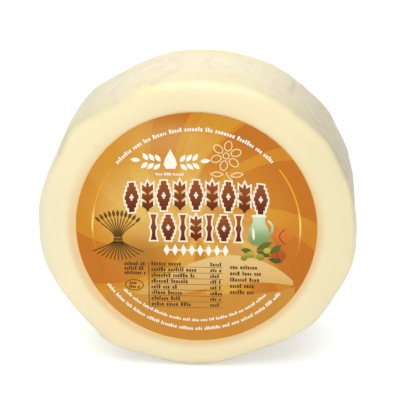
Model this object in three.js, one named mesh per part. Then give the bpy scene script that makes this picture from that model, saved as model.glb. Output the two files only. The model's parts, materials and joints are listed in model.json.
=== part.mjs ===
// A whole small wheel of kashkaval cheese in skin-tight clear film, with a round label on one face.
// It stands on its edge on a small flat spot. The wheel's axis runs along Y, the label faces -Y,
// +Z is up, and the origin is under the middle of the wheel on the surface it stands on.
// Lengths are in millimetres. Angles are in degrees, seen from the label's side, anticlockwise from +X.

import * as THREE from 'three';

// The wheel
const THICKNESS = 92; // between the two faces
const MEAN_RADIUS = 91.3;
const SAG = 2.3; // the soft cheese stands wider at its sides by this much, and lower at top and bottom
const REST_DEPTH = 88.9; // from the wheel's axis down to its flat spot
const BELLY = 1; // how far the side wall swells out halfway between the faces
const SHOULDER_INWARD = 16; // each face rounds off over this much of its radius
const SHOULDER_DEPTH = 11; // and over this much of the thickness
const SHOULDER_POWER = 2.3; // 2 is an ellipse, and more is squarer

// Pressed corners (+) and flats (-) of the outline: the angle of the middle, the spread round the
// wheel, and the height at the front and at the rear rim.
const BUMPS = [
  { at: 16, spread: 6, front: 1.3, rear: 2.2 },
  { at: 33, spread: 6, front: 1.9, rear: 2 },
  { at: 61, spread: 13, front: 1.3, rear: 1.4 },
  { at: 100, spread: 10, front: 0.4, rear: 0.5 },
  { at: 121, spread: 7, front: -0.9, rear: -0.9 },
  { at: 140, spread: 6, front: 2.8, rear: 1.7 },
  { at: 153, spread: 6, front: -1.1, rear: -1.8 },
  { at: 191, spread: 11, front: 0.6, rear: 0.9 },
  { at: 218, spread: 9, front: -0.5, rear: -0.5 },
  { at: 236, spread: 7, front: 3, rear: 2.9 },
  { at: 265, spread: 14, front: 0.8, rear: 0.8 },
  { at: 291, spread: 7, front: -1.6, rear: -1.5 },
  { at: 320, spread: 8, front: 2.1, rear: 2 },
  { at: 347, spread: 10, front: 3, rear: 2.6 },
];

// The label
const LABEL_RADIUS = 70.5;
const LABEL_THICKNESS = 0.4;
const LABEL_GAP = 0.3; // clear of the face behind it
const LABEL_RIGHT = 0.9; // how far its middle lies right of the wheel's axis
const LABEL_UP = 0.7; // and above it

// How finely the solids are faceted
const ROUND_STEPS = 96;
const SHOULDER_STEPS = 8;
const SIDE_STEPS = 6;

const FACE_EDGE = MEAN_RADIUS - SHOULDER_INWARD; // where the flat of a face ends on a mean section

function shortestTurn(degrees) {
  return ((degrees % 360) + 540) % 360 - 180;
}

// The outline's radius at an angle, blended from the front rim to the rear one.
function outlineRadius(angle, y) {
  const along = THREE.MathUtils.smoothstep(y, -THICKNESS / 2, THICKNESS / 2);
  let radius = MEAN_RADIUS + SAG * Math.cos(THREE.MathUtils.degToRad(2 * angle));
  for (const bump of BUMPS) {
    const height = THREE.MathUtils.lerp(bump.front, bump.rear, along);
    const turn = shortestTurn(angle - bump.at) / bump.spread;
    radius += height * Math.exp(-turn * turn / 2);
  }
  return radius;
}

// One rounded shoulder, from the flat of the face out to the side wall: points of how far each is
// from the axis and how deep behind the face.
function shoulder() {
  const points = [];
  for (let step = 0; step <= SHOULDER_STEPS; step += 1) {
    const turn = Math.PI / 2 * step / SHOULDER_STEPS;
    const outward = Math.sin(turn) ** (2 / SHOULDER_POWER);
    const back = 1 - Math.cos(turn) ** (2 / SHOULDER_POWER);
    points.push(new THREE.Vector2(FACE_EDGE + SHOULDER_INWARD * outward, SHOULDER_DEPTH * back));
  }
  return points;
}

// The wheel's mean section, from the axis on one face round to the axis on the other.
function section() {
  const half = THICKNESS / 2;
  const front = shoulder().map((point) => new THREE.Vector2(point.x, point.y - half));
  const rear = shoulder().map((point) => new THREE.Vector2(point.x, half - point.y)).reverse();
  const side = [];
  for (let step = 1; step < SIDE_STEPS; step += 1) {
    const along = step / SIDE_STEPS;
    const swell = BELLY * Math.sin(Math.PI * along);
    const y = THREE.MathUtils.lerp(SHOULDER_DEPTH - half, half - SHOULDER_DEPTH, along);
    side.push(new THREE.Vector2(MEAN_RADIUS + swell, y));
  }
  return [new THREE.Vector2(0, -half), ...front, ...side, ...rear, new THREE.Vector2(0, half)];
}

// The section spun round the axis, then pressed to the uneven outline and flattened where it rests.
function wheelGeometry() {
  const geometry = new THREE.LatheGeometry(section(), ROUND_STEPS);
  const position = geometry.getAttribute('position');
  for (let index = 0; index < position.count; index += 1) {
    const x = position.getX(index);
    const y = position.getY(index);
    const z = position.getZ(index);
    const spun = Math.hypot(x, z);
    if (spun === 0) continue;
    const outline = outlineRadius(THREE.MathUtils.radToDeg(Math.atan2(z, x)), y);
    const onFace = spun / FACE_EDGE * (outline - SHOULDER_INWARD);
    const radius = spun < FACE_EDGE ? onFace : spun + outline - MEAN_RADIUS;
    const scale = radius / spun;
    position.setXYZ(index, x * scale, y, Math.max(z * scale, -REST_DEPTH));
  }
  geometry.computeVertexNormals();
  return geometry;
}

function wrappedCheese() {
  const material = new THREE.MeshStandardMaterial({ color: 0xf6e8bd, roughness: 0.35, metalness: 0 });
  const mesh = new THREE.Mesh(wheelGeometry(), material);
  mesh.name = 'wrapped_cheese';
  return mesh;
}

function label() {
  const geometry = new THREE.CylinderGeometry(LABEL_RADIUS, LABEL_RADIUS, LABEL_THICKNESS, ROUND_STEPS);
  const material = new THREE.MeshStandardMaterial({ color: 0xcf8a2c, roughness: 0.45, metalness: 0 });
  const mesh = new THREE.Mesh(geometry, material);
  mesh.name = 'label';
  mesh.position.set(LABEL_RIGHT, -(THICKNESS / 2 + LABEL_GAP + LABEL_THICKNESS / 2), LABEL_UP);
  return mesh;
}

const wheel = new THREE.Group();
wheel.add(wrappedCheese(), label());

// The group stands on the origin, with the middle of its box above it.
const box = new THREE.Box3().setFromObject(wheel, true);
const middle = box.getCenter(new THREE.Vector3());
wheel.position.set(-middle.x, -middle.y, -box.min.z);
wheel.updateMatrixWorld(true);

export default wheel;
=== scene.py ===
"""A small round of kashkaval in skin-tight clear film, with a round printed label, on a pale floor.

The wheel stands on its edge. Its axis runs along Y and the label faces -Y. Its form is worked out in
millimetres round the middle of its axis, and the label's print in label radii right of and above the
label's middle. wheel_to_frame and label_to_frame place them in the frame, in metres. Bearings are in
degrees, seen from the label's side, anticlockwise from +X.
"""

import json
import math
from typing import NamedTuple

import bpy
import numpy as np
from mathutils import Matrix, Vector
from mathutils.geometry import tessellate_polygon

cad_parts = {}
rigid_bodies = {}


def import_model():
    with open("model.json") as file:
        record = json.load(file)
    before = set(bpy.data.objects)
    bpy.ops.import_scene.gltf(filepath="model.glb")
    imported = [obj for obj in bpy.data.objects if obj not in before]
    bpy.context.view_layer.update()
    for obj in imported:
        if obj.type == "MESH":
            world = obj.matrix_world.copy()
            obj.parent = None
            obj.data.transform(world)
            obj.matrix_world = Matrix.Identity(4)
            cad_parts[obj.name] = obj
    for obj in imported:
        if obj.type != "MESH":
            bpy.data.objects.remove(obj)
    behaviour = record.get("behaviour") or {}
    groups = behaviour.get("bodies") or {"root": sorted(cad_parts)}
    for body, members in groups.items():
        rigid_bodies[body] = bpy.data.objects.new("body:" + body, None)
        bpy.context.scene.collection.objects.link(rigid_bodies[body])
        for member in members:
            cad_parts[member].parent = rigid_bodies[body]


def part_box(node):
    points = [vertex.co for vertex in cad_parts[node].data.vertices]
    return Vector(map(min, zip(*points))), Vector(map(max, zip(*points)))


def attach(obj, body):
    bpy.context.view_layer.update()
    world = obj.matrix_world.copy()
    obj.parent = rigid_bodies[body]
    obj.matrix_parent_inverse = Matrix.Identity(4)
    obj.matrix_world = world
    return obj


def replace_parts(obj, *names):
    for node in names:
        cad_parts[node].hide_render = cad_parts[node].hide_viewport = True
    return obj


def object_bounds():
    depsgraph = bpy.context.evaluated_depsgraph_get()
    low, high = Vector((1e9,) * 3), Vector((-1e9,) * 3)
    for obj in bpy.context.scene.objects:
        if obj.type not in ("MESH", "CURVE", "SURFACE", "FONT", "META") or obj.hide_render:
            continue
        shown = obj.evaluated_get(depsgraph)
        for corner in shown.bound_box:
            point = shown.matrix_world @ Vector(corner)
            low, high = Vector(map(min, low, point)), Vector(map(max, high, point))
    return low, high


for leftover in list(bpy.data.objects):
    bpy.data.objects.remove(leftover)
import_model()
CAD_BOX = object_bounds()

MM = 0.001
WHEEL_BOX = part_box("wrapped_cheese")
LABEL_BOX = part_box("label")

# ---- The wheel's form, as the CAD solid has it, in millimetres ----
THICKNESS = 92.0  # between the two faces
MEAN_RADIUS = 91.3
SAG = 2.3  # wider at the sides and lower at top and bottom by this much
REST_DEPTH = 88.9  # from the axis down to the flat spot
BELLY = 1.0  # how far the side wall swells out halfway between the faces
SHOULDER_INWARD = 16.0
SHOULDER_DEPTH = 11.0
SHOULDER_POWER = 2.3
FACE_EDGE = MEAN_RADIUS - SHOULDER_INWARD

# Pressed corners (+) and flats (-): bearing, spread round the wheel, height at front and rear rim
BUMPS = [
    (16, 6, 1.3, 2.2),
    (33, 6, 1.9, 2.0),
    (61, 13, 1.3, 1.4),
    (100, 10, 0.4, 0.5),
    (121, 7, -0.9, -0.9),
    (140, 6, 2.8, 1.7),
    (153, 6, -1.1, -1.8),
    (191, 11, 0.6, 0.9),
    (218, 9, -0.5, -0.5),
    (236, 7, 3.0, 2.9),
    (265, 14, 0.8, 0.8),
    (291, 7, -1.6, -1.5),
    (320, 8, 2.1, 2.0),
    (347, 10, 3.0, 2.6),
]


def smooth_step(value, low, high):
    along = np.clip((value - low) / (high - low), 0.0, 1.0)
    return along * along * (3.0 - 2.0 * along)


def shortest_turn(degrees):
    return (degrees + 180.0) % 360.0 - 180.0


def outline_radius(bearing, y):
    """The outline's radius at a bearing, blended from the front rim to the rear one."""
    along = smooth_step(y, -THICKNESS / 2, THICKNESS / 2)
    radius = MEAN_RADIUS + SAG * np.cos(np.radians(2.0 * bearing))
    for at, spread, front, rear in BUMPS:
        height = front + (rear - front) * along
        radius = radius + height * np.exp(-((shortest_turn(bearing - at) / spread) ** 2) / 2.0)
    return radius


def section(face_rings, shoulder_rows, side_rows):
    """The wheel's mean section from the front face to the rear one, without its ends on the axis.

    Gives each row's distance from the axis, its y, and how far it is along the section from the
    middle of the side wall."""
    half = THICKNESS / 2
    turn = np.linspace(0.0, math.pi / 2, shoulder_rows + 1)
    outward = FACE_EDGE + SHOULDER_INWARD * np.sin(turn) ** (2 / SHOULDER_POWER)
    back = SHOULDER_DEPTH * (1.0 - np.clip(np.cos(turn), 0.0, 1.0) ** (2 / SHOULDER_POWER))
    rings = np.linspace(0.0, FACE_EDGE, face_rings + 1)[1:-1]
    along = np.linspace(0.0, 1.0, side_rows + 1)[1:-1]
    side = MEAN_RADIUS + BELLY * np.sin(math.pi * along)
    side_y = (2.0 * along - 1.0) * (half - SHOULDER_DEPTH)
    flat = np.full_like(rings, half)
    spun = np.concatenate([rings, outward, side, outward[::-1], rings[::-1]])
    y = np.concatenate([-flat, back - half, side_y, half - back[::-1], flat])
    path = np.concatenate([[0.0], np.cumsum(np.hypot(np.diff(spun), np.diff(y)))])
    return spun, y, path - path[-1] / 2.0


def wheel_grid(face_rings, shoulder_rows, side_rows, round_steps):
    """The wheel's surface by row and bearing: points, outward normals, bearings, places along."""
    spun, y, along = (values[:, None] for values in section(face_rings, shoulder_rows, side_rows))
    bearing = np.arange(round_steps)[None, :] * 360.0 / round_steps
    outline = outline_radius(bearing, y)
    on_face = spun / FACE_EDGE * (outline - SHOULDER_INWARD)
    radius = np.where(spun < FACE_EDGE, on_face, spun + outline - MEAN_RADIUS)
    x = radius * np.cos(np.radians(bearing))
    z = np.maximum(radius * np.sin(np.radians(bearing)), -REST_DEPTH)
    points = np.stack([x, np.broadcast_to(y, x.shape), z], axis=-1)
    onward = np.gradient(points, axis=0)
    sideways = np.roll(points, -1, axis=1) - np.roll(points, 1, axis=1)
    normal = np.cross(onward, sideways)
    normal /= np.linalg.norm(normal, axis=-1, keepdims=True)
    return points, normal, np.broadcast_to(bearing, x.shape), np.broadcast_to(along, x.shape)


def reach_of(points):
    """How far each point is from the wheel's axis."""
    return np.hypot(points[..., 0], points[..., 2])


def lumps(points, size, seed, waves=28):
    """Smooth random hills, about one millimetre high at their commonest and that many across."""
    draw = np.random.default_rng(seed)
    direction = draw.normal(size=(waves, 3))
    direction /= np.linalg.norm(direction, axis=1, keepdims=True)
    pitch = 2.0 * math.pi / (size * draw.uniform(1.4, 3.0, waves))
    phase = draw.uniform(0.0, 2.0 * math.pi, waves)
    height = np.zeros(points.shape[:-1])
    for way, rate, start in zip(direction, pitch, phase):
        height += np.sin(points @ way * rate + start)
    return height / math.sqrt(waves / 2.0)


# ---- Places in the frame ----
def outline_middle():
    """How far the middle of the wheel's width lies from its axis."""
    bearing = np.linspace(0.0, 360.0, 1441)
    x = (outline_radius(bearing, 0.0) + BELLY) * np.cos(np.radians(bearing))
    return (x.min() + x.max()) / 2.0


AXIS_POINT = Vector(
    (
        (WHEEL_BOX[0].x + WHEEL_BOX[1].x) / 2 - outline_middle() * MM,
        (WHEEL_BOX[0].y + WHEEL_BOX[1].y) / 2,
        WHEEL_BOX[0].z + REST_DEPTH * MM,
    )
)
LABEL_RADIUS = (LABEL_BOX[1].x - LABEL_BOX[0].x) / 2
LABEL_X = (LABEL_BOX[0].x + LABEL_BOX[1].x) / 2
LABEL_Z = (LABEL_BOX[0].z + LABEL_BOX[1].z) / 2
LABEL_BACK = LABEL_BOX[1].y
LABEL_FRONT = LABEL_BOX[0].y
PAPER_FRONT = LABEL_FRONT + 0.18 * MM
LAYER = 0.028 * MM  # how far each level of print stands in front of the one before


def wheel_to_frame(points):
    """Millimetres round the wheel's middle to the frame, held inside the CAD model's box."""
    placed = np.asarray(points) * MM + np.array(AXIS_POINT)
    return np.clip(placed, np.array(CAD_BOX[0]), np.array(CAD_BOX[1]))


def label_to_frame(u, v, y):
    return (LABEL_X + u * LABEL_RADIUS, y, LABEL_Z + v * LABEL_RADIUS)


def add_mesh(name, vertices, faces, material, smooth=True):
    """A new mesh piece that rides on the wheel's one body, with the material it is given."""
    mesh = bpy.data.meshes.new(name)
    mesh.from_pydata([tuple(map(float, vertex)) for vertex in vertices], [], faces)
    mesh.polygons.foreach_set("use_smooth", [smooth] * len(mesh.polygons))
    mesh.materials.append(material)
    piece = bpy.data.objects.new(name, mesh)
    bpy.context.scene.collection.objects.link(piece)
    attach(piece, "root")
    return piece


# ---- Materials ----
LIGHT_LEVEL = 1.25  # how bright a white surface that faces the camera would be under this light


def srgb(red, green, blue):
    """A colour as it looks on screen, 0 to 255, in linear values for a surface under this light."""

    def linear(value):
        value /= 255.0
        value = value / 12.92 if value <= 0.04045 else ((value + 0.055) / 1.055) ** 2.4
        return value / LIGHT_LEVEL

    return (linear(red), linear(green), linear(blue), 1.0)


class Graph:
    """A material's node tree, with short calls for the nodes that the finishes below use."""

    def __init__(self, name):
        self.material = bpy.data.materials.new(name)
        self.material.use_nodes = True
        self.tree = self.material.node_tree
        self.tree.nodes.clear()
        self.place = self.node("ShaderNodeTexCoord").outputs["Object"]

    def node(self, kind, **settings):
        made = self.tree.nodes.new(kind)
        for key, value in settings.items():
            setattr(made, key, value)
        return made

    def feed(self, socket, value):
        if isinstance(value, bpy.types.NodeSocket):
            self.tree.links.new(value, socket)
        else:
            socket.default_value = value

    def noise(self, size_mm, detail=3.0, stretch=(1.0, 1.0, 1.0)):
        """Noise from 0 to 1, in blotches about that many millimetres across."""
        mapping = self.node("ShaderNodeMapping")
        mapping.inputs["Scale"].default_value = stretch
        self.feed(mapping.inputs["Vector"], self.place)
        made = self.node("ShaderNodeTexNoise")
        self.feed(made.inputs["Vector"], mapping.outputs["Vector"])
        made.inputs["Scale"].default_value = 1.0 / (size_mm * MM)
        made.inputs["Detail"].default_value = detail
        return made.outputs["Fac"]

    def math(self, operation, first, second=0.0):
        made = self.node("ShaderNodeMath", operation=operation)
        self.feed(made.inputs[0], first)
        self.feed(made.inputs[1], second)
        return made.outputs[0]

    def ease(self, value, low, high, to_low=0.0, to_high=1.0):
        """value from low to high becomes to_low to to_high, eased at both ends."""
        made = self.node("ShaderNodeMapRange", interpolation_type="SMOOTHSTEP")
        self.feed(made.inputs["Value"], value)
        made.inputs["From Min"].default_value = low
        made.inputs["From Max"].default_value = high
        made.inputs["To Min"].default_value = to_low
        made.inputs["To Max"].default_value = to_high
        return made.outputs["Result"]

    def mix(self, factor, first, second):
        made = self.node("ShaderNodeMix", data_type="RGBA")
        self.feed(made.inputs[0], factor)
        self.feed(made.inputs[6], first)
        self.feed(made.inputs[7], second)
        return made.outputs[2]

    def blend_shaders(self, factor, first, second):
        made = self.node("ShaderNodeMixShader")
        self.feed(made.inputs[0], factor)
        self.feed(made.inputs[1], first)
        self.feed(made.inputs[2], second)
        return made.outputs[0]

    def axes(self):
        made = self.node("ShaderNodeSeparateXYZ")
        self.feed(made.inputs[0], self.place)
        return made.outputs["X"], made.outputs["Y"], made.outputs["Z"]

    def distance(self, right, up, across, high):
        """Distance along X and Z from a point, in half widths and half heights of an ellipse."""
        x, _, z = self.axes()
        x = self.math("DIVIDE", self.math("SUBTRACT", x, right), across)
        z = self.math("DIVIDE", self.math("SUBTRACT", z, up), high)
        squares = self.math("ADD", self.math("MULTIPLY", x, x), self.math("MULTIPLY", z, z))
        return self.math("SQRT", squares)

    def label_distance(self, u=0.0, v=0.0, across=1.0, high=1.0):
        """The same from a point of the label, in label radii."""
        right, _, up = label_to_frame(u, v, 0.0)
        return self.distance(right, up, across * LABEL_RADIUS, high * LABEL_RADIUS)

    def bump(self, height, distance_mm, strength):
        made = self.node("ShaderNodeBump")
        made.inputs["Strength"].default_value = strength
        made.inputs["Distance"].default_value = distance_mm * MM
        self.feed(made.inputs["Height"], height)
        return made.outputs["Normal"]

    def principled(self, colour, roughness, normal):
        made = self.node("ShaderNodeBsdfPrincipled")
        self.feed(made.inputs["Base Color"], colour)
        self.feed(made.inputs["Roughness"], roughness)
        self.feed(made.inputs["Normal"], normal)
        return made

    def finish(self, shader):
        output = self.node("ShaderNodeOutputMaterial")
        self.feed(output.inputs["Surface"], shader)
        return self.material


# ---- Cheese and film ----
# How finely each is meshed
CHEESE_GRID = {"face_rings": 30, "shoulder_rows": 14, "side_rows": 50, "round_steps": 420}
FILM_GRID = {"face_rings": 30, "shoulder_rows": 18, "side_rows": 70, "round_steps": 560}

# In millimetres
FILM_GAP = 0.3  # from the film down to the cheese
FILM_INSET = 0.12  # from the CAD solid's side wall in to the film
REAR_INSET = 0.5  # the same on the rear face, which leaves room for the film's seal
FRONT_RISE = 0.26  # how far the film stands out of its front face, up to the label's back
PIT_SIZE = 3.4
PIT_DEPTH = 0.22
SEAL_HEIGHT = 0.38
SEAL_HALF_WIDTH = 1.3
SEAL_OFFSET = 4.0  # how far the seal runs from the middle of the rear face
SEAL_ACROSS = (0.98, 0.2)  # the direction across the seal, in x and z

FOLD_SHARE = 0.5  # how much of the film's folds the cheese under it shows
PIT_RARITY = 1.3  # only the random hills above this make pits
HOLLOW_PLACE = 2.1  # the middle of a fold's hollow, in half widths beside its crest
HOLLOW_SPREAD = 1.6
HOLLOW_DEPTH = 0.4  # of the crest's height


class Fold(NamedTuple):
    """A fold of the film: a line from one place to another, bent sideways, and its relief.

    Bearings are in degrees and the rest in millimetres. Along the section, 0 is the middle of the
    side wall, -35 and 35 its ends, and beyond 58 is a face."""

    start_bearing: float
    start_along: float
    end_bearing: float
    end_along: float
    height: float
    half_width: float
    bend: float


PLACED_FOLDS = [
    Fold(54.3, 30.0, 54.9, -8.0, 0.50, 1.3, 0.6),
    Fold(61.0, -10.0, 55.0, -30.0, 0.25, 2.6, -1.0),
    Fold(46.0, -12.0, 39.0, -28.0, 0.28, 2.4, 1.5),
    Fold(29.0, -14.0, 22.5, -8.5, 0.34, 1.5, 0.6),
    Fold(23.5, -8.5, 13.5, -4.0, 0.38, 1.5, -0.8),
    Fold(24.0, -31.0, 16.5, -21.5, 0.34, 1.4, 0.6),
    Fold(40.0, -4.0, 33.0, 20.0, 0.34, 2.0, 1.2),
    Fold(9.0, -6.0, 2.0, 16.0, 0.30, 1.8, -1.2),
    Fold(151.0, -43.0, 147.0, -22.0, 0.30, 1.8, 1.0),
    Fold(126.0, -16.0, 119.0, 8.0, 0.22, 2.4, -1.0),
    Fold(135.0, -66.0, 139.0, -58.0, 0.05, 1.2, 0.0),
]


def scattered_folds(draw, bearings, jitter, start_along, length, turn, height, half_width, bend):
    """A fold near each bearing, with its measures drawn between limits."""
    folds = []
    for bearing in bearings:
        start = bearing + draw.uniform(-jitter, jitter)
        low = draw.uniform(*start_along)
        high = low + draw.uniform(*length)
        end = start + draw.uniform(-turn, turn)
        relief = (draw.uniform(*height), draw.uniform(*half_width), draw.uniform(-bend, bend))
        folds.append(Fold(start, low, end, high, *relief))
    return folds


def guessed_folds(draw):
    """Folds on the part of the side wall that the photo hides, and gathers round the rear rim."""
    side = scattered_folds(
        draw,
        np.arange(158.0, 372.0, 5.0),
        jitter=3.0,
        start_along=(-36.0, 8.0),
        length=(14.0, 38.0),
        turn=9.0,
        height=(0.10, 0.32),
        half_width=(1.3, 2.8),
        bend=2.5,
    )
    gathers = scattered_folds(
        draw,
        np.arange(0.0, 360.0, 9.0),
        jitter=4.0,
        start_along=(32.0, 46.0),
        length=(14.0, 34.0),
        turn=3.0,
        height=(0.16, 0.38),
        half_width=(1.1, 2.0),
        bend=1.5,
    )
    return side + gathers


def fold_relief(bearing, along, reach, fold):
    """One fold's crest and the hollow on one side of it, from 0 to 1, and the film's height."""
    sideways = np.radians(shortest_turn(bearing - fold.start_bearing)) * reach
    onward = along - fold.start_along
    run = math.radians(fold.end_bearing - fold.start_bearing) * MEAN_RADIUS
    rise = fold.end_along - fold.start_along
    length = math.hypot(run, rise)
    progress = (sideways * run + onward * rise) / length**2
    across = (sideways * rise - onward * run) / length - fold.bend * np.sin(math.pi * progress)
    across /= fold.half_width
    taper = smooth_step(progress, -0.15, 0.2) * smooth_step(-progress, -1.15, -0.75)
    crest = np.exp(-(across**2)) * taper
    hollow = np.exp(-((across - HOLLOW_PLACE) ** 2) / HOLLOW_SPREAD) * taper
    return crest, hollow, fold.height * (crest - HOLLOW_DEPTH * hollow)


def all_folds(points, bearing, along):
    """At each point, how much of a crest there is, the painted shade beside a fold, and the folds' relief.

    Only a higher fold's hollow gets painted shade, as a low one holds no shade."""
    reach = reach_of(points)
    crests, hollow_shade, relief = np.zeros(reach.shape), np.zeros(reach.shape), np.zeros(reach.shape)
    for fold in PLACED_FOLDS + guessed_folds(np.random.default_rng(7)):
        crest, hollow, height = fold_relief(bearing, along, reach, fold)
        crests = np.maximum(crests, crest)
        hollow_shade = np.maximum(hollow_shade, hollow * smooth_step(fold.height, 0.24, 0.5))
        relief += height
    uncovered = bare(points)
    return crests * uncovered, hollow_shade * uncovered, relief * uncovered


def film_inset(points):
    """How far inside the CAD solid the film lies, from its front face round to its rear one."""
    on_face = smooth_step(-reach_of(points), -FACE_EDGE - 10.0, -FACE_EDGE)
    front = on_face * (points[..., 1] < 0)
    rear = on_face * (points[..., 1] > 0)
    return FILM_INSET * (1.0 - on_face) - FRONT_RISE * front + REAR_INSET * rear


def bare(points):
    """0 where the label lies on the wheel, rising to 1 a little way outside it."""
    middle_x = (LABEL_X - AXIS_POINT.x) / MM
    middle_z = (LABEL_Z - AXIS_POINT.z) / MM
    from_label = np.hypot(points[..., 0] - middle_x, points[..., 2] - middle_z)
    return np.where(points[..., 1] < 0, smooth_step(from_label, 70.0, 78.0), 1.0)


def shared_lumps(points):
    """The cheese's unevenness, which the tight film follows."""
    side = smooth_step(reach_of(points), 80.0, 89.0)
    broad = lumps(points, 17.0, seed=11) * (0.08 + 0.10 * side)
    close = lumps(points, 6.5, seed=12) * 0.07 * side
    return (broad + close) * bare(points)


def closed_grid(grid):
    """Vertices and faces of a grid of points round the axis, closed by a fan at each end."""
    rows, steps = grid.shape[:2]
    ends = [grid[0].mean(axis=0), grid[-1].mean(axis=0)]
    vertices = np.concatenate([grid.reshape(-1, 3), ends])
    front, rear = rows * steps, rows * steps + 1
    faces = []
    for step in range(steps):
        after = (step + 1) % steps
        faces.append((front, step, after))
        faces.append((rear, (rows - 1) * steps + after, (rows - 1) * steps + step))
        for row in range(rows - 1):
            here, beyond = row * steps, (row + 1) * steps
            faces.append((here + step, beyond + step, beyond + after, here + after))
    return vertices, faces


def cheese_mesh():
    """The cheese's vertices and faces, and the painted shade beside the film's folds at each vertex."""
    points, normal, bearing, along = wheel_grid(**CHEESE_GRID)
    side = smooth_step(reach_of(points), 82.0, 90.0)
    pits = np.maximum(lumps(points, PIT_SIZE, seed=13, waves=40) - PIT_RARITY, 0.0)
    pits = pits * PIT_DEPTH * side
    _, hollow_shade, relief = all_folds(points, bearing, along)
    raised = shared_lumps(points) + FOLD_SHARE * relief - film_inset(points) - FILM_GAP - pits
    vertices, faces = closed_grid(wheel_to_frame(points + normal * raised[..., None]))
    return vertices, faces, np.append(hollow_shade.ravel(), [0.0, 0.0])


def film_mesh():
    """The film's vertices and faces, and how much of a fold's crest there is at each vertex."""
    points, normal, bearing, along = wheel_grid(**FILM_GRID)
    crests, _, relief = all_folds(points, bearing, along)
    on_rear = smooth_step(-reach_of(points), -FACE_EDGE, 4.0 - FACE_EDGE) * (points[..., 1] > 0)
    from_seal = points[..., 0] * SEAL_ACROSS[0] + points[..., 2] * SEAL_ACROSS[1] + SEAL_OFFSET
    seal = np.exp(-((from_seal / SEAL_HALF_WIDTH) ** 2)) * on_rear
    raised = relief + SEAL_HEIGHT * seal + shared_lumps(points) - film_inset(points)
    vertices, faces = closed_grid(wheel_to_frame(points + normal * raised[..., None]))
    return vertices, faces, np.append(np.maximum(crests, seal).ravel(), [0.0, 0.0])


def face_colour(graph, broad, middling):
    """Pale paste, a little greyer near the left edge, and with painted shade near the right one."""
    x, _, _ = graph.axes()
    face = graph.mix(graph.ease(broad, 0.38, 0.62), srgb(249, 236, 191), srgb(250, 233, 187))
    face = graph.mix(graph.ease(middling, 0.58, 0.74, 0.0, 0.5), face, srgb(248, 231, 168))
    # Painted shade: darker and greyer towards the face's right edge.
    face = graph.mix(graph.ease(x, 0.045, 0.085), face, srgb(240, 229, 183))
    return graph.mix(graph.ease(x, -0.072, -0.092), face, srgb(240, 231, 194))


def wall_colour_with_painted_shade(graph, broad, from_middle):
    """A pale crown, and flanks that are greyer and darker, most of all high on the right.

    The flanks' darkness is partly the rind's grey tint and mostly painted shade.
    """
    x, _, z = graph.axes()
    above_axis = graph.math("SUBTRACT", z, AXIS_POINT.z)
    either = graph.ease(broad, 0.4, 0.6)
    crown = graph.mix(either, srgb(243, 234, 200), srgb(242, 230, 196))
    crown = graph.mix(graph.ease(from_middle, 0.012, 0.030), crown, srgb(241, 228, 184))
    # Painted shade: the flanks are darker than the crown, the right more than the left.
    left = graph.mix(either, srgb(206, 200, 164), srgb(212, 202, 170))
    left = graph.mix(graph.ease(above_axis, 0.050, 0.030), left, srgb(228, 218, 184))
    right = graph.mix(either, srgb(194, 188, 150), srgb(200, 186, 156))
    # Painted shade: a darker band high on the right flank, lighter again below it.
    right = graph.mix(graph.ease(above_axis, 0.065, 0.040), right, srgb(175, 166, 130))
    right = graph.mix(graph.ease(above_axis, 0.028, -0.008), right, srgb(210, 202, 168))
    shaded_flank = graph.mix(graph.ease(x, -0.02, 0.05), left, right)
    return graph.mix(graph.ease(above_axis, 0.055, 0.092), shaded_flank, crown)


def blotched(graph, wall):
    """The side wall with faint pink and yellow blotches, and flecks that are stronger on the right."""
    x, _, _ = graph.axes()
    blotch = graph.noise(9, detail=1.5, stretch=(1.0, 0.45, 1.0))
    wall = graph.mix(graph.ease(blotch, 0.52, 0.66, 0.0, 0.20), wall, srgb(206, 172, 152))
    wall = graph.mix(graph.ease(blotch, 0.48, 0.34, 0.0, 0.20), wall, srgb(216, 210, 148))
    fleck = graph.noise(5.5, detail=1.5, stretch=(1.0, 0.8, 1.0))
    share = graph.ease(x, 0.005, 0.045, 0.03, 0.14)
    darker = graph.math("MULTIPLY", graph.ease(fleck, 0.55, 0.68), share)
    paler = graph.math("MULTIPLY", graph.ease(fleck, 0.44, 0.32), share)
    wall = graph.mix(darker, wall, srgb(186, 166, 130))
    return graph.mix(paler, wall, srgb(238, 230, 196))


def yellow_spot(graph, colour):
    """A faint yellow spot on the front shoulder, above the label and left of its middle."""
    _, y, _ = graph.axes()
    spot = graph.ease(graph.distance(-0.025, 0.1715, 0.011, 0.0035), 0.0, 1.0, 0.5, 0.0)
    in_front = graph.ease(y, -0.0362, -0.0352, 1.0, 0.0)
    return graph.mix(graph.math("MULTIPLY", spot, in_front), colour, srgb(250, 230, 140))


def label_halo(graph, colour):
    """The label's warm reflection on the face round it: a soft halo and a narrow glow at its rim."""
    _, y, z = graph.axes()
    on_face = graph.ease(y, -0.045, -0.044, 1.0, 0.0)
    up = graph.math("DIVIDE", graph.math("SUBTRACT", z, LABEL_Z), LABEL_RADIUS)
    halo = graph.ease(graph.label_distance(-0.012, -0.002), 1.025, 1.095, 1.0, 0.0)
    halo = graph.math("MULTIPLY", halo, graph.ease(up, -0.2, 0.9, 0.9, 0.2))
    colour = graph.mix(graph.math("MULTIPLY", halo, on_face), colour, srgb(236, 201, 140))
    glow = graph.ease(graph.label_distance(-0.004, 0.0), 1.006, 1.034, 1.0, 0.0)
    glow = graph.math("MULTIPLY", glow, graph.ease(up, 0.5, 1.0, 0.8, 0.4))
    return graph.mix(graph.math("MULTIPLY", glow, on_face), colour, srgb(255, 213, 132))


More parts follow.
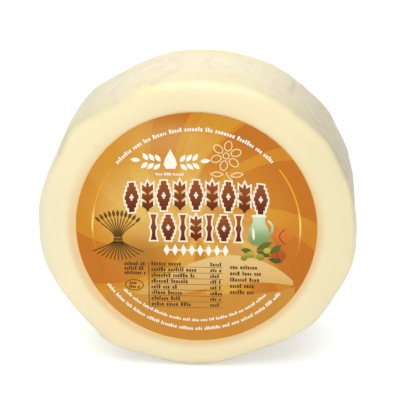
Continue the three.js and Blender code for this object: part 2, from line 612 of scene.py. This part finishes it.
def cheese_material():
    """Pale paste on both faces and a greyer rind on the side wall, both with some painted shade."""
    graph = Graph("cheese")
    x, y, _ = graph.axes()
    broad = graph.noise(30, detail=2.0)
    middling = graph.noise(11)
    fine = graph.noise(2.2)
    # The face's colour reaches further round the shoulder at the right, and at the far left.
    shift = graph.math("MULTIPLY", graph.math("MAXIMUM", x, -0.04), 0.020)
    shift = graph.math("ADD", shift, graph.ease(x, -0.075, -0.045, 0.0012, 0.0))
    from_middle = graph.math("ADD", graph.math("ABSOLUTE", y), shift)
    face = face_colour(graph, broad, middling)
    wall = blotched(graph, wall_colour_with_painted_shade(graph, broad, from_middle))
    colour = graph.mix(graph.ease(from_middle, 0.0440, 0.0385), face, wall)
    colour = label_halo(graph, yellow_spot(graph, colour))
    # Painted shade in the hollows beside the film's folds.
    hollow = graph.node("ShaderNodeAttribute", attribute_name="hollow").outputs["Fac"]
    colour = graph.mix(graph.math("MULTIPLY", hollow, 0.55), colour, srgb(184, 164, 128))
    colour = graph.mix(graph.ease(fine, 0.35, 0.65, 0.0, 0.05), colour, srgb(214, 196, 150))
    grain = graph.math("ADD", middling, graph.math("MULTIPLY", fine, 0.3))
    shader = graph.principled(colour, 0.5, graph.bump(grain, 0.5, 0.35))
    shader.inputs["Subsurface Weight"].default_value = 0.3
    shader.inputs["Subsurface Radius"].default_value = (1.0, 0.6, 0.3)
    shader.inputs["Subsurface Scale"].default_value = 4.0 * MM
    return graph.finish(shader.outputs["BSDF"])


def film_material():
    """Clear glossy film, with a slight haze that is stronger on the folds."""
    graph = Graph("film")
    crest = graph.node("ShaderNodeAttribute", attribute_name="fold").outputs["Fac"]
    ripple = graph.noise(5.0, stretch=(1.0, 0.6, 1.0))
    haze = graph.node("ShaderNodeBsdfDiffuse")
    haze.inputs["Color"].default_value = (0.74, 0.73, 0.69, 1.0)
    gloss = graph.node("ShaderNodeBsdfGlossy")
    graph.feed(gloss.inputs["Roughness"], graph.ease(ripple, 0.3, 0.7, 0.14, 0.24))
    graph.feed(gloss.inputs["Normal"], graph.bump(ripple, 0.35, 0.4))
    facing = graph.node("ShaderNodeLayerWeight").outputs["Facing"]
    grazing = graph.math("MULTIPLY", graph.math("POWER", facing, 5.0), 0.05)
    sheen = graph.math("ADD", grazing, 0.035)
    clear = graph.node("ShaderNodeBsdfTransparent")
    haziness = graph.ease(crest, 0.0, 1.0, 0.03, 0.20)
    body = graph.blend_shaders(haziness, clear.outputs[0], haze.outputs[0])
    return graph.finish(graph.blend_shaders(sheen, body, gloss.outputs[0]))


def build_wheel():
    """The cheese, and the film round it."""
    for name, build, material, attribute in (
        # The cheese's hollow attribute holds the painted shade beside the film's folds.
        ("cheese", cheese_mesh, cheese_material(), "hollow"),
        ("film", film_mesh, film_material(), "fold"),
    ):
        vertices, faces, amounts = build()
        piece = add_mesh(name, vertices, faces, material)
        piece.data.attributes.new(attribute, "FLOAT", "POINT").data.foreach_set("value", amounts)
        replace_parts(piece, "wrapped_cheese")


# ---- Outlines for the label's print, in label radii ----
def turned(points, degrees):
    cos, sin = math.cos(math.radians(degrees)), math.sin(math.radians(degrees))
    return np.asarray(points) @ np.array([[cos, sin], [-sin, cos]])


def ellipse(u, v, across, high, degrees=0.0, steps=20):
    turn = np.linspace(0.0, 2.0 * math.pi, steps, endpoint=False)
    points = np.stack([across * np.cos(turn), high * np.sin(turn)], axis=1)
    return turned(points, degrees) + (u, v)


def bar(left, low, right, high):
    return np.array([(left, low), (right, low), (right, high), (left, high)])


def leaf(u, v, length, width, degrees):
    """A leaf or grain, pointed at both ends, that starts at a point and grows in a direction."""
    along = np.linspace(0.0, 1.0, 9)
    side = width / 2 * np.sin(math.pi * along)
    lower = np.stack([along * length, -side], axis=1)
    upper = np.stack([along * length, side], axis=1)[-2:0:-1]
    return turned(np.concatenate([lower, upper]), degrees) + (u, v)


def stroke(line, width):
    """A band of one width along a line of points."""
    line = np.asarray(line, float)
    onward = np.gradient(line, axis=0)
    onward /= np.linalg.norm(onward, axis=1, keepdims=True)
    left = np.stack([-onward[:, 1], onward[:, 0]], axis=1) * width / 2
    return np.concatenate([line - left, (line + left)[::-1]])


def arc(radius, start, stop, steps=24):
    bearing = np.radians(np.linspace(start, stop, steps))
    return np.stack([radius * np.cos(bearing), radius * np.sin(bearing)], axis=1)


def grown(outline, by):
    """An anticlockwise outline moved outward all round, with its corners kept sharp."""
    edge = np.roll(outline, -1, axis=0) - outline
    out = np.stack([edge[:, 1], -edge[:, 0]], axis=1)
    out /= np.linalg.norm(out, axis=1, keepdims=True)
    before = np.roll(out, 1, axis=0)
    share = 1.0 + np.sum(out * before, axis=1, keepdims=True)
    return outline + (out + before) / np.maximum(share, 0.35) * by


def mirrored_outline(right_side):
    """An outline symmetrical about x = 0, from its right side's points, bottom to top."""
    left_side = [(-x, y) for x, y in reversed(right_side) if x > 0]
    return np.array(list(right_side) + left_side)


def stepped_lozenge(half_widths, low, high):
    """A lozenge with stepped edges: a band of equal height for each half width."""
    height = (high - low) / len(half_widths)
    right_side = []
    for band, half in enumerate(half_widths):
        right_side.append((half, low + band * height))
        right_side.append((half, low + (band + 1) * height))
    return mirrored_outline(right_side)


def sprig():
    """A stylised ear with three pairs of arms, one cell wide and high."""
    right_side = [(0.13, 0.0)]
    for foot in (0.06, 0.34, 0.62):
        right_side += [(0.13, foot), (0.5, foot + 0.10), (0.5, foot + 0.29), (0.13, foot + 0.19)]
    return mirrored_outline(right_side + [(0.13, 0.90), (0.0, 1.0)])


def spindle():
    right_side = [(0.5, 0.0), (0.28, 0.2), (0.28, 0.36), (0.5, 0.5), (0.28, 0.64), (0.28, 0.8), (0.5, 1.0)]
    return mirrored_outline(right_side)


PRINT_EDGE = 0.997  # the print stops just inside the paper's rim
LOZENGE_STEPS = [0.20, 0.32, 0.42, 0.5, 0.42, 0.32, 0.20]
ORNAMENTS = {
    "lozenge": [
        stepped_lozenge(LOZENGE_STEPS, 0.0, 1.0),
        stepped_lozenge([0.06, 0.15, 0.06], 0.39, 0.61),
    ],
    "sprig": [sprig()],
    "spindle": [spindle()],
}
ORNAMENT_WIDTH = {"lozenge": 0.115, "sprig": 0.091, "spindle": 0.052}


def frieze(kinds, low, high, gap, arch):
    """Ornaments in a row, each a list of its outline and holes, on a line that bends down by arch."""
    left = -(sum(ORNAMENT_WIDTH[kind] for kind in kinds) + gap * (len(kinds) - 1)) / 2
    row = []
    for kind in kinds:
        width = ORNAMENT_WIDTH[kind]
        placed = []
        for cell in ORNAMENTS[kind]:
            u = left + (cell[:, 0] + 0.5) * width
            v = low + cell[:, 1] * (high - low) - arch * u**2
            placed.append(np.stack([u, v], axis=1))
        row.append(placed)
        left += width + gap
    return row


def greeked(draw, length, height):
    """Small blocks in word-like groups that stand for fine print: start, end and height of each."""
    blocks = []
    at = 0.0
    while at < length:
        for _ in range(draw.integers(3, 9)):
            width = height * draw.uniform(0.28, 0.5)
            blocks.append((at, at + width, height * draw.choice([0.66, 0.72, 1.0])))
            at += width + 0.2 * height
        at += 0.5 * height
    return [block for block in blocks if block[1] <= length]


def fine_print(draw, left, right, v, height):
    blocks = greeked(draw, right - left, height)
    return [[bar(left + start, v, left + end, v + tall)] for start, end, tall in blocks]


def fine_print_on_arc(draw, radius, start, stop, height):
    """Fine print along an arc, with its feet on the right-hand side of the way it runs."""
    way = 1.0 if stop > start else -1.0
    shapes = []
    for low, high, tall in greeked(draw, math.radians(abs(stop - start)) * radius, height):
        first = start + way * math.degrees(low / radius)
        last = start + way * math.degrees(high / radius)
        feet = arc(radius, first, last, 2)
        tops = arc(radius - way * tall, last, first, 2)
        shapes.append([np.concatenate([feet, tops])])
    return shapes


# ---- The label ----
def signed_area(outline):
    u, v = np.asarray(outline).T
    return 0.5 * float(np.sum(u * np.roll(v, -1) - v * np.roll(u, -1)))


def prisms(name, shapes, front, back, material):
    """Closed flat prisms on the label. Each shape is a list: its outline, then its holes."""
    vertices, faces = [], []
    for shape in shapes:
        loops = []
        for index, outline in enumerate(shape):
            anticlockwise = signed_area(outline) > 0
            loops.append(outline if anticlockwise == (index == 0) else outline[::-1])
        points = np.concatenate(loops)
        start, count = len(vertices), len(points)
        vertices += [label_to_frame(u, v, front) for u, v in points]
        vertices += [label_to_frame(u, v, back) for u, v in points]
        flat_loops = [[Vector((u, v, 0.0)) for u, v in loop] for loop in loops]
        for corners in tessellate_polygon(flat_loops):
            if signed_area(points[list(corners)]) < 0:
                corners = corners[::-1]
            faces.append([start + corner for corner in corners])
            faces.append([start + count + corner for corner in reversed(corners)])
        for loop in loops:
            for index in range(len(loop)):
                here, after = start + index, start + (index + 1) % len(loop)
                faces.append((here, here + count, after + count, after))
            start += len(loop)
    piece = add_mesh(name, vertices, faces, material, smooth=False)
    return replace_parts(piece, "label")


def print_piece(name, shapes, level, material):
    """Print that stands a number of layers in front of the paper."""
    return prisms(name, shapes, PAPER_FRONT - level * LAYER, PAPER_FRONT + 0.02 * MM, material)


def label_ink(graph, colour, roughness=0.42):
    """Finishes a printed colour with a faint grain."""
    grain = graph.noise(0.9)
    colour = graph.mix(graph.ease(grain, 0.35, 0.75, 0.0, 0.08), colour, srgb(120, 78, 30))
    shader = graph.principled(colour, roughness, graph.bump(grain, 0.03, 0.2))
    shader.inputs["Specular IOR Level"].default_value = 0.12
    return graph.finish(shader.outputs["BSDF"])


def ink(name, low_colour, high_colour, low=-1.0, high=1.0, roughness=0.42):
    """Printed colour that runs from one height on the label to another."""
    graph = Graph(name)
    _, _, z = graph.axes()
    share = graph.ease(z, LABEL_Z + low * LABEL_RADIUS, LABEL_Z + high * LABEL_RADIUS)
    return label_ink(graph, graph.mix(share, low_colour, high_colour), roughness)


# Soft glows and shades of the label's ground: u, v, half width, half height, how far out it starts
# to fade, strength, colour
GROUND_TINTS = [
    (-0.30, 0.20, 0.72, 0.50, 0.25, 0.62, srgb(236, 200, 112)),
    (0.42, -0.12, 0.30, 0.34, 0.2, 0.4, srgb(232, 198, 118)),
    (-0.25, 0.78, 0.50, 0.22, 0.2, 0.35, srgb(236, 194, 116)),
    (-0.46, -0.22, 0.30, 0.24, 0.2, 0.6, srgb(164, 110, 38)),
    (0.80, -0.40, 0.45, 0.60, 0.2, 0.5, srgb(194, 108, 24)),
]


def ground_ink(name, inner, rim):
    """The label's ground: one colour inside and another at the rim, with soft glows and shades."""
    graph = Graph(name)
    colour = graph.mix(graph.ease(graph.label_distance(), 0.55, 0.95), inner, rim)
    for u, v, across, high, fade_from, strength, tint in GROUND_TINTS:
        outward = graph.label_distance(u, v, across, high)
        colour = graph.mix(graph.ease(outward, fade_from, 1.0, strength, 0.0), colour, tint)
    cloud = graph.ease(graph.noise(16.0), 0.35, 0.7, 0.0, 0.16)
    return label_ink(graph, graph.mix(cloud, colour, srgb(190, 112, 34)))


def foil_ink(name):
    """Gold with painted light: darker downward, with a painted glint a little above the label's middle."""
    graph = Graph(name)
    _, _, z = graph.axes()
    lit = graph.ease(z, LABEL_Z - 0.35 * LABEL_RADIUS, LABEL_Z + 0.15 * LABEL_RADIUS)
    colour = graph.mix(lit, srgb(190, 108, 22), srgb(236, 164, 36))
    from_glint = graph.math("ABSOLUTE", graph.math("SUBTRACT", z, LABEL_Z + 0.05 * LABEL_RADIUS))
    glint = graph.ease(from_glint, 0.0, 0.16 * LABEL_RADIUS, 0.8, 0.0)
    return label_ink(graph, graph.mix(glint, colour, srgb(255, 238, 140)), 0.3)


def ray(start, stop, twist=38.0, inner=0.10, outer=PRINT_EDGE):
    """A broad ray between two bearings at the label's rim, curling in towards its middle."""
    radius = np.linspace(inner, outer, 14)

    def edge(bearing):
        turn = np.radians(bearing + twist * (1.0 - radius))
        return np.stack([radius * np.cos(turn), radius * np.sin(turn)], axis=1)

    rim = arc(outer, start, stop, 12)[1:-1]
    return [np.concatenate([edge(start), rim, edge(stop)[::-1]])]


def field(left, right, foot, rise):
    """A field above a line of the label, kept inside its rim and tapered to nothing at both ends."""
    u = np.linspace(left, right, 48)
    rim = np.sqrt(PRINT_EDGE**2 - u**2)
    low = np.clip(foot(u), -rim, rim)
    swell = rise * np.sin(math.pi * np.linspace(0.0, 1.0, len(u))) ** 0.7
    high = np.clip(foot(u) + swell, -rim, rim)
    u, low, high = (values[high - low > 0.004] for values in (u, low, high))
    return [np.concatenate([np.stack([u, low], axis=1), np.stack([u, high], axis=1)[::-1]])]


def grain_ear(u, v, degrees, pairs, length, width):
    """An ear of grain that lies from a point in a direction: pairs of grains, and one at its tip."""
    grains = []
    for pair in range(pairs):
        for side in (-1, 1):
            foot = turned([(0.02 + pair * length * 0.66, side * width * 0.2)], degrees)[0]
            grains.append([leaf(u + foot[0], v + foot[1], length, width, degrees + side * 48)])
    foot = turned([(0.03 + pairs * length * 0.66, 0.0)], degrees)[0]
    grains.append([leaf(u + foot[0], v + foot[1], length * 1.1, width, degrees)])
    return grains


def emblem():
    """A drop between two ears of grain that lie out to left and right."""
    u, v = -0.21, 0.585
    drop = [(0.038, -0.062), (0.055, -0.025), (0.042, 0.022), (0.0, 0.105)]
    shapes = [[mirrored_outline(drop) + (u, v)]]
    shapes += grain_ear(u + 0.060, v - 0.015, 6, 3, 0.078, 0.038)
    shapes += grain_ear(u - 0.060, v - 0.015, 174, 3, 0.078, 0.038)
    return shapes


def line_flower():
    """A flower in outline on a curved stem with two leaves."""
    u, v = 0.245, 0.64
    shapes = [[ellipse(u, v, 0.030, 0.030), ellipse(u, v, 0.021, 0.021)]]
    for bearing in range(18, 378, 60):
        petal = turned([(0.085, 0.0)], bearing)[0] + (u, v)
        rims = [(0.046, 0.034), (0.037, 0.025)]
        shapes.append([ellipse(*petal, across, high, bearing) for across, high in rims])
    along = np.linspace(0.0, 1.0, 12)
    stem = np.stack([u + 0.002 + 0.05 * along**2, v - 0.135 - 0.075 * along], axis=1)
    shapes.append([stroke(stem, 0.009)])
    for foot_u, foot_v, degrees in ((0.275, 0.470, 8), (0.232, 0.480, 178)):
        outer = leaf(foot_u, foot_v, 0.12, 0.050, degrees)
        inner = leaf(foot_u, foot_v, 0.088, 0.030, degrees) + turned([(0.016, 0.0)], degrees)[0]
        shapes.append([outer, inner])
    return shapes


def sheaf():
    """Stalks tied in the middle, fanning out up and down, with an ear on each upper one."""
    tie_u, tie_v = -0.650, -0.10
    shapes = [[bar(tie_u - 0.038, tie_v - 0.014, tie_u + 0.038, tie_v + 0.014)]]
    along = np.linspace(0.0, 1.0, 8)
    for share in np.linspace(-1.0, 1.0, 11):
        u = tie_u + share * (0.030 + 0.115 * along**1.6)
        v = tie_v + 0.020 + 0.170 * (1.0 - 0.28 * share**2) * along
        shapes.append([stroke(np.stack([u, v], axis=1), 0.0085)])
        shapes.append([leaf(u[-1], v[-1] + 0.004, 0.066, 0.024, 90.0 - 42.0 * share)])
    for share in np.linspace(-1.0, 1.0, 13):
        u = tie_u + share * (0.034 + 0.180 * along**1.2)
        v = tie_v - 0.020 - 0.165 * (1.0 - 0.45 * share**2) * along
        shapes.append([stroke(np.stack([u, v], axis=1), 0.0105)])
    return shapes


def bent_line(u, v, bulge, fall):
    """A line down from a point, bent to the left."""
    along = np.linspace(0.0, 1.0, 9)
    return np.stack([u - bulge * np.sin(math.pi * along), v - fall * along], axis=1)


def build_still_life():
    """A jug, fruit and leaves at the right of the label, in flat colours."""
    u, v = 0.520, 0.0
    jug = [(0.055, -0.13), (0.078, -0.10), (0.088, -0.04), (0.076, 0.02), (0.052, 0.065)]
    body = mirrored_outline(jug + [(0.048, 0.10), (0.066, 0.13)]) + (u, v)
    turn = np.radians(np.linspace(-78, 78, 12))
    handle = np.stack([u + 0.062 + 0.050 * np.cos(turn), v + 0.02 + 0.065 * np.sin(turn)], axis=1)
    mint = ink("mint", srgb(126, 158, 92), srgb(206, 222, 186), -0.10, 0.10)
    print_piece("jug", [[body]], 4, mint)
    print_piece("jug_handle", [[stroke(handle, 0.020)]], 5, mint)
    milk = [
        [ellipse(u, v + 0.128, 0.060, 0.013)],
        [ellipse(u - 0.045, v - 0.03, 0.011, 0.055, 4)],
    ]
    print_piece("milk", milk, 5, ink("milk", srgb(244, 240, 214), srgb(250, 246, 226)))
    leaves = [
        [leaf(0.50, -0.17, 0.15, 0.055, 28)],
        [leaf(0.50, -0.18, 0.13, 0.052, -22)],
        [leaf(0.61, -0.20, 0.13, 0.050, 38)],
        [leaf(0.47, -0.19, 0.10, 0.045, 168)],
        [leaf(0.60, -0.25, 0.12, 0.046, -12)],
    ]
    green = ink("leaf_green", srgb(74, 84, 30), srgb(104, 116, 48), -0.3, -0.05)
    print_piece("leaves", leaves, 5, green)
    olives = [
        [ellipse(0.45, -0.215, 0.036, 0.030, 12)],
        [ellipse(0.535, -0.235, 0.034, 0.029, -8)],
        [ellipse(0.40, -0.245, 0.028, 0.024, 6)],
        [ellipse(0.59, -0.175, 0.031, 0.026, 20)],
    ]
    olive = ink("olive", srgb(130, 132, 34), srgb(196, 184, 74), -0.27, -0.16)
    print_piece("olives", olives, 6, olive)
    apricots = [[ellipse(0.715, -0.055, 0.085, 0.080)], [ellipse(0.685, -0.215, 0.062, 0.058)]]
    apricot = ink("apricot", srgb(176, 78, 26), srgb(222, 128, 44), -0.28, 0.04)
    print_piece("apricots", apricots, 3, apricot)
    creases = [
        [stroke(bent_line(0.735, 0.015, 0.045, 0.13), 0.008)],
        [stroke(bent_line(0.700, -0.165, 0.030, 0.09), 0.007)],
    ]
    print_piece("creases", creases, 4, ink("crease", srgb(130, 50, 20), srgb(150, 64, 24)))


def build_ground():
    """The paper with its curved rays, two low fields and a broken gold ring."""
    amber = ground_ink("amber_ground", srgb(218, 151, 46), srgb(212, 139, 30))
    paper = ellipse(0.0, 0.0, 1.0, 1.0, steps=160)
    prisms("label_paper", [[paper]], PAPER_FRONT, LABEL_BACK, amber)
    dark = [(-34, -10), (4, 38), (46, 66), (92, 110), (182, 210), (240, 258), (300, 317)]
    dark_amber = ground_ink("dark_amber", srgb(206, 133, 36), srgb(197, 114, 28))
    print_piece("dark_rays", [ray(*bearings) for bearings in dark], 1, dark_amber)
    pale = [(68, 86), (114, 152), (214, 238), (262, 290), (318, 325)]
    gold = ground_ink("gold", srgb(222, 169, 68), srgb(214, 149, 42))
    print_piece("pale_rays", [ray(*bearings) for bearings in pale], 1, gold)

    def valley(u):
        return -0.56 + 0.10 * np.cos(2.6 * (u - 0.55))

    def rim(u):
        return -np.sqrt(PRINT_EDGE**2 - u**2)

    straw = ink("straw", srgb(214, 164, 84), srgb(230, 196, 130), -0.65, -0.2)
    print_piece("far_field", [field(-0.56, 0.84, valley, 0.27)], 2, straw)
    ochre = ink("ochre", srgb(204, 138, 48), srgb(204, 144, 58), -1.0, -0.4)
    print_piece("near_field", [field(-0.80, 0.86, rim, 0.42)], 3, ochre)
    ring = [[stroke(arc(0.862, 146, 206, 40), 0.014)], [stroke(arc(0.862, -26, 38, 40), 0.014)]]
    print_piece("gold_ring", ring, 2, foil_ink("bright_gold"))


def build_ornaments(draw, white):
    """Two rows of brown ornaments with cream edges, a white row, an emblem and line drawings."""
    first_row = frieze(["lozenge", "sprig"] * 4 + ["lozenge"], 0.17, 0.425, 0.030, 0.10)
    half_row = ["spindle", "lozenge", "spindle"]
    second_row = frieze(half_row + ["sprig"] + half_row, -0.10, 0.125, 0.038, 0.0)
    edges = [[grown(shape[0], 0.0135)] for shape in first_row + second_row]
    print_piece("ornament_edges", edges, 4, ink("cream", srgb(250, 236, 206), srgb(253, 244, 222)))
    dark, light = srgb(96, 32, 16), srgb(152, 78, 28)
    print_piece("first_ornaments", first_row, 5, ink("brown", dark, light, 0.13, 0.42))
    print_piece("second_ornaments", second_row, 5, ink("low_brown", dark, light, -0.10, 0.125))
    row_v, pitch = -0.185, 0.07
    places = [-0.245 + pitch * index for index in range(8)]
    row = [[ellipse(u, row_v, 0.026, 0.052, steps=4)] for u in places]
    row += [[ellipse(u + pitch / 2, row_v, 0.008, 0.008, steps=10)] for u in places[:-1]]
    print_piece("white_row", row, 5, white)
    print_piece("emblem", emblem() + fine_print(draw, -0.33, -0.09, 0.465, 0.022), 5, white)
    pale_line = ink("pale_line", srgb(240, 212, 150), srgb(244, 220, 164))
    print_piece("line_flower", line_flower(), 3, pale_line)
    print_piece("sheaf", sheaf(), 3, ink("etching", srgb(104, 74, 16), srgb(96, 72, 20)))


def build_fine_print(draw, white):
    arcs = fine_print_on_arc(draw, 0.845, 139, 41, 0.036)
    arcs += fine_print_on_arc(draw, 0.905, 214, 322, 0.030)
    arcs += fine_print_on_arc(draw, 0.825, 222, 316, 0.026)
    print_piece("white_fine_print", arcs, 5, white)
    rows = []
    rules = [
        [bar(-0.400, -0.74, -0.392, -0.30)],
        [ellipse(-0.52, -0.505, 0.080, 0.050), ellipse(-0.52, -0.505, 0.073, 0.043)],
    ]
    for index in range(8):
        v = -0.325 - 0.052 * index
        rows += fine_print(draw, -0.375, -0.375 + draw.uniform(0.22, 0.42), v, 0.035)
        rows += fine_print(draw, 0.12, 0.220, v, 0.033)
        rules.append([bar(-0.378, v - 0.0125, 0.225, v - 0.0090)])
    for index in range(5):
        right = 0.285 + draw.uniform(0.20, 0.27)
        rows += fine_print(draw, 0.285, right, -0.345 - 0.056 * index, 0.035)
    rows += fine_print(draw, -0.560, -0.480, -0.498, 0.026)
    rows += fine_print(draw, -0.565, -0.475, -0.533, 0.026)
    for index in range(3):
        rows += fine_print(draw, -0.60, -0.425, -0.330 - 0.040 * index, 0.032)
    print_piece("dark_fine_print", rows, 5, ink("dark_print", srgb(92, 62, 22), srgb(84, 56, 20)))
    print_piece("rules", rules, 4, ink("rule_brown", srgb(122, 82, 28), srgb(116, 78, 28)))


def build_label():
    draw = np.random.default_rng(21)
    white = ink("white", srgb(253, 246, 226), srgb(255, 250, 236))
    build_ground()
    build_ornaments(draw, white)
    build_still_life()
    build_fine_print(draw, white)


# ---- Floor, light and camera ----
FLOOR_HALF = 12.0  # metres
FLOOR_DROP = 0.2 * MM  # below the wheel's flat spot
FLOOR_GLOW = 0.40
SKY_LEVEL = 0.88
SKY_SLOPE = (-0.06, 0.0, -0.10)  # how the sky's level changes towards +X, +Y and up
SOFTBOX_STRENGTH = 2.16
SOFTBOX_SPREAD = 66.0  # degrees
SOFTBOX_WAY = (0.05, 0.20, -0.98)  # the way its light travels

# The photo's camera, found by fitting the wheel's and the label's outlines to it
CAMERA_AZIMUTH = 3.3  # degrees right of straight in front of the label
CAMERA_ELEVATION = 18.65  # degrees
CAMERA_DISTANCE = 0.9  # metres
CAMERA_TARGET = (-0.05, 0.35, 92.0)  # millimetres
SENSOR_WIDTH = 36.0
FOCAL_LENGTH = 132.1


def build_floor():
    """A pale light table, which keeps the shadows soft."""
    half = FLOOR_HALF
    corners = [(-half, -half, 0.0), (half, -half, 0.0), (half, half, 0.0), (-half, half, 0.0)]
    mesh = bpy.data.meshes.new("floor")
    mesh.from_pydata(corners, [], [(0, 1, 2, 3)])
    floor = bpy.data.objects.new("floor", mesh)
    floor.location.z = -FLOOR_DROP
    bpy.context.scene.collection.objects.link(floor)
    graph = Graph("floor")
    tone = graph.mix(graph.noise(400.0), (0.68, 0.68, 0.68, 1.0), (0.70, 0.70, 0.70, 1.0))
    surface = graph.node("ShaderNodeBsdfDiffuse")
    graph.feed(surface.inputs["Color"], tone)
    lit_from_below = graph.node("ShaderNodeEmission")
    lit_from_below.inputs["Strength"].default_value = FLOOR_GLOW
    shader = graph.node("ShaderNodeAddShader")
    graph.feed(shader.inputs[0], surface.outputs[0])
    graph.feed(shader.inputs[1], lit_from_below.outputs[0])
    mesh.materials.append(graph.finish(shader.outputs[0]))


def build_light():
    """An even pale sky, and one broad softbox overhead."""
    world = bpy.data.worlds.new("studio")
    world.use_nodes = True
    nodes, links = world.node_tree.nodes, world.node_tree.links
    toward = nodes.new("ShaderNodeVectorMath")
    toward.operation = "DOT_PRODUCT"
    toward.inputs[1].default_value = SKY_SLOPE
    links.new(nodes.new("ShaderNodeTexCoord").outputs["Generated"], toward.inputs[0])
    level = nodes.new("ShaderNodeMath")
    level.operation = "ADD"
    level.inputs[1].default_value = SKY_LEVEL
    links.new(toward.outputs["Value"], level.inputs[0])
    links.new(level.outputs[0], nodes["Background"].inputs["Strength"])
    nodes["Background"].inputs["Color"].default_value = (1.0, 1.0, 1.0, 1.0)
    bpy.context.scene.world = world
    data = bpy.data.lights.new("softbox", "SUN")
    data.energy = SOFTBOX_STRENGTH
    data.angle = math.radians(SOFTBOX_SPREAD)
    softbox = bpy.data.objects.new("softbox", data)
    softbox.rotation_euler = Vector(SOFTBOX_WAY).to_track_quat("-Z", "Y").to_euler()
    bpy.context.scene.collection.objects.link(softbox)


def build_camera():
    azimuth, elevation = math.radians(CAMERA_AZIMUTH), math.radians(CAMERA_ELEVATION)
    back = Vector(
        (
            math.sin(azimuth) * math.cos(elevation),
            -math.cos(azimuth) * math.cos(elevation),
            math.sin(elevation),
        )
    )
    data = bpy.data.cameras.new("camera")
    data.sensor_width = SENSOR_WIDTH
    data.lens = FOCAL_LENGTH
    data.clip_start = 0.01
    data.clip_end = 60.0
    camera = bpy.data.objects.new("camera", data)
    camera.location = Vector(CAMERA_TARGET) * MM + back * CAMERA_DISTANCE
    camera.rotation_euler = (-back).to_track_quat("-Z", "Y").to_euler()
    bpy.context.scene.collection.objects.link(camera)
    bpy.context.scene.camera = camera


build_wheel()
build_label()
build_floor()
build_light()
build_camera()
bpy.context.scene.view_settings.view_transform = "Standard"
